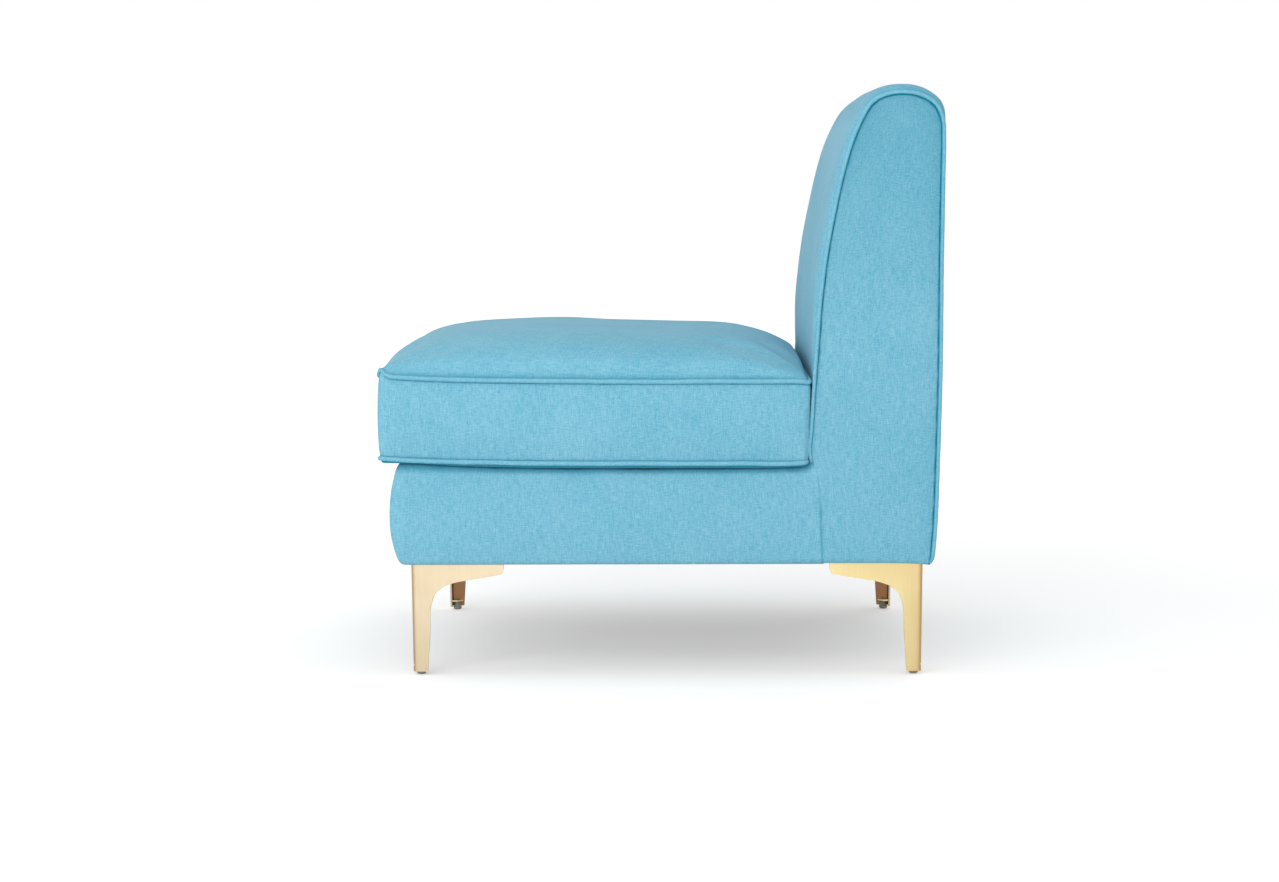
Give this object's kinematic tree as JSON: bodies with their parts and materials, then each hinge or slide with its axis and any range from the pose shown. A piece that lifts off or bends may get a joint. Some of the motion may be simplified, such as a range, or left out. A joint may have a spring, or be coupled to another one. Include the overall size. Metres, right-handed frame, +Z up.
{
  "type": "armless slipper chair",
  "caption": "Armless upholstered slipper chair with a loose piped box cushion, a rolled-top back and folded metal corner legs.",
  "frame": {"origin": "on the floor, under the centre of the chair's bounding box", "axes": "+Z up, the sitter faces -Y, +X is the sitter's left, so the picture looks along -X"},
  "size_m": [0.6596, 0.7962, 0.8325],
  "materials": {
    "upholstery": "fine woven light blue, matt",
    "welt": "the same cloth over cord",
    "leg_metal": "satin champagne gold",
    "glide": "matt grey",
    "timber": "sawn, unfinished",
    "plywood": "plain plywood",
    "spring_steel": "oiled wire",
    "foam": "foam and fibre",
    "felt": "needled felt",
    "webbing": "woven elastic webbing",
    "lining": "black spunbond",
    "zip": "dyed tape with nylon teeth",
    "zip_metal": "plated",
    "screw": "zinc plated"
  },
  "bodies": {
    "chair": {"left_side_frame": "plywood", "right_side_frame": "plywood", "front_rail": "timber", "rear_rail": "timber", "spring_rail": "timber", "lumbar_rail": "timber", "top_rail": "timber", "corner_block_front_left": "timber", "corner_block_front_right": "timber", "corner_block_rear_left": "timber", "corner_block_rear_right": "timber", "seat_spring_1": "spring_steel", "seat_spring_2": "spring_steel", "seat_spring_3": "spring_steel", "seat_spring_4": "spring_steel", "seat_spring_5": "spring_steel", "spring_insulator": "felt", "deck_pad": "foam", "deck_cover": "lining", "back_webbing_1": "webbing", "back_webbing_2": "webbing", "back_webbing_3": "webbing", "back_pad": "foam", "inside_back_cover": "upholstery", "outside_back_cover": "upholstery", "left_side_cover": "upholstery", "right_side_cover": "upholstery", "left_back_welt": "welt", "right_back_welt": "welt", "base_cover": "upholstery", "dust_cover": "lining", "leg_front_left": "leg_metal", "leg_front_right": "leg_metal", "leg_rear_left": "leg_metal", "leg_rear_right": "leg_metal", "glide_front_left": "glide", "glide_front_right": "glide", "glide_rear_left": "glide", "glide_rear_right": "glide", "leg_screw_front_left_1": "screw", "leg_screw_front_left_2": "screw", "leg_screw_front_left_3": "screw", "leg_screw_front_right_1": "screw", "leg_screw_front_right_2": "screw", "leg_screw_front_right_3": "screw", "leg_screw_rear_left_1": "screw", "leg_screw_rear_left_2": "screw", "leg_screw_rear_left_3": "screw", "leg_screw_rear_right_1": "screw", "leg_screw_rear_right_2": "screw", "leg_screw_rear_right_3": "screw"},
    "cushion": {"cushion_core": "foam", "cushion_top_panel": "upholstery", "cushion_boxing": "upholstery", "cushion_bottom_panel": "upholstery", "cushion_top_welt": "welt", "cushion_bottom_welt": "welt", "zip_chain": "zip"},
    "zip_slider": {"zip_slider": "zip_metal"}
  },
  "joints": [
    {"name": "cushion_lift", "type": "slide", "parent": "chair", "child": "cushion", "axis": [0, -0.5, 0.866], "range_m": [0, 0.25]},
    {"name": "zip_slide", "type": "slide", "parent": "cushion", "child": "zip_slider", "axis": [1, 0, 0], "range_m": [-0.445, 0]}
  ]
}
